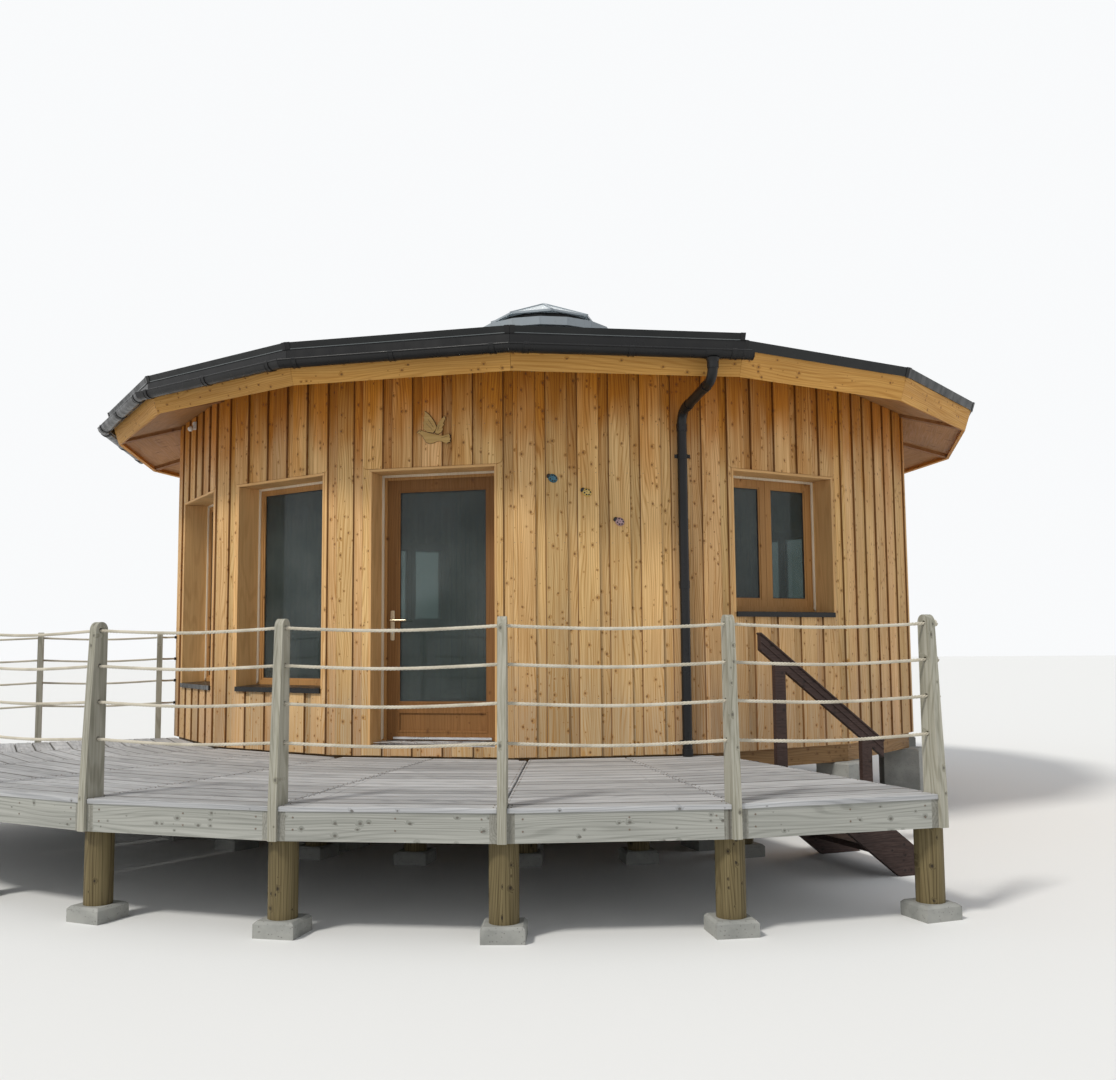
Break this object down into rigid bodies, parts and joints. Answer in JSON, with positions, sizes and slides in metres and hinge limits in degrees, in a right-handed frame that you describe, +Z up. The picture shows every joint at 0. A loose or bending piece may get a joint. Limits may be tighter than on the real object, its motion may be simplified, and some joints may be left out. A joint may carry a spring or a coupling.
{
  "type": "polygonal timber cabin",
  "caption": "Polygonal timber-boarded cabin on piers, with a low overhanging roof, skylight, deep window reveals, inward-opening glazed door, rope-railed wedge deck and short stair.",
  "frame": {"origin": "on the cabin's vertical axis, at the underside of the middle pier, which is the lowest ground", "axes": "+Z up, the door's wall faces -Y, +X to the right of someone who looks at the door"},
  "size_m": [9.7922, 10.9001, 5.4153],
  "materials": {
    "larch_boards": "oiled larch boards, honey to orange",
    "pale_larch": "planed pale larch",
    "structural_timber": "sawn softwood",
    "roof_board": "plywood, brown stained",
    "weathered_deck": "weathered silver-grey softwood",
    "treated_plank": "treated softwood, grey-green",
    "round_timber": "treated round timber",
    "dark_timber": "dark brown stain",
    "varnished_timber": "orange-brown varnish",
    "dark_metal": "anthracite coated steel",
    "membrane": "dark roofing sheet",
    "grey_metal": "grey coated metal",
    "bare_aluminium": "satin",
    "handle_metal": "champagne anodised",
    "concrete": "cast concrete",
    "rope_fibre": "twisted cream rope",
    "clear_glass": "double glazing",
    "skylight_glass": "translucent grey"
  },
  "bodies": {
    "cabin": {"concrete_piers": "concrete", "rim_beams": "structural_timber", "floor_hub": "structural_timber", "floor_joists": "structural_timber", "floor": "structural_timber", "front_wall_sides": "larch_boards", "front_wall_head": "larch_boards", "door_sill_wall": "larch_boards", "window_walls": "larch_boards", "plain_walls": "larch_boards", "rafters": "structural_timber", "roof_panels": "structural_timber", "roof_membrane": "membrane", "soffit_boards": "roof_board", "ceiling_boards": "roof_board", "fascia_boards": "pale_larch", "edge_trim": "dark_metal", "gutter_apron": "dark_metal", "gutter": "dark_metal", "downpipe": "dark_metal", "downpipe_clips": "dark_metal", "skylight_curb": "structural_timber", "skylight_skirt": "grey_metal", "skylight_panes": "skylight_glass", "skylight_cap": "grey_metal", "door_lining": "pale_larch", "window_linings": "pale_larch", "window_frames": "varnished_timber", "window_sashes": "varnished_timber", "window_glass": "clear_glass", "window_sills": "dark_metal", "door_frame": "varnished_timber", "door_threshold": "bare_aluminium", "door_hinge_pins": "bare_aluminium", "deck_pads": "concrete", "deck_posts": "round_timber", "deck_joists": "weathered_deck", "deck_cross_members": "weathered_deck", "decking": "weathered_deck", "stanchions": "treated_plank", "rope_eyes": "dark_metal", "rope_1": "rope_fibre", "rope_2": "rope_fibre", "rope_3": "rope_fibre", "rope_4": "rope_fibre", "stair_stringers": "dark_timber", "stair_treads": "dark_timber", "handrail_posts": "dark_timber", "handrail": "dark_timber"},
    "door": {"door_leaf": "varnished_timber", "door_glass": "clear_glass", "door_hinge_sleeves": "bare_aluminium", "door_handle_plates": "handle_metal"},
    "lever": {"door_lever": "handle_metal"}
  },
  "joints": [
    {"name": "door_swing", "type": "hinge", "parent": "cabin", "child": "door", "pos_m": [0.533, -3.4785, 1.88], "axis": [0, 0, -1], "range_deg": [0, 90]},
    {"name": "lever_turn", "type": "hinge", "parent": "door", "child": "lever", "pos_m": [-0.367, -3.517, 1.78], "axis": [0, 1, 0], "range_deg": [0, 40], "stiffness_Nm_per_rad": 1.2, "springref_deg": -22.92}
  ]
}
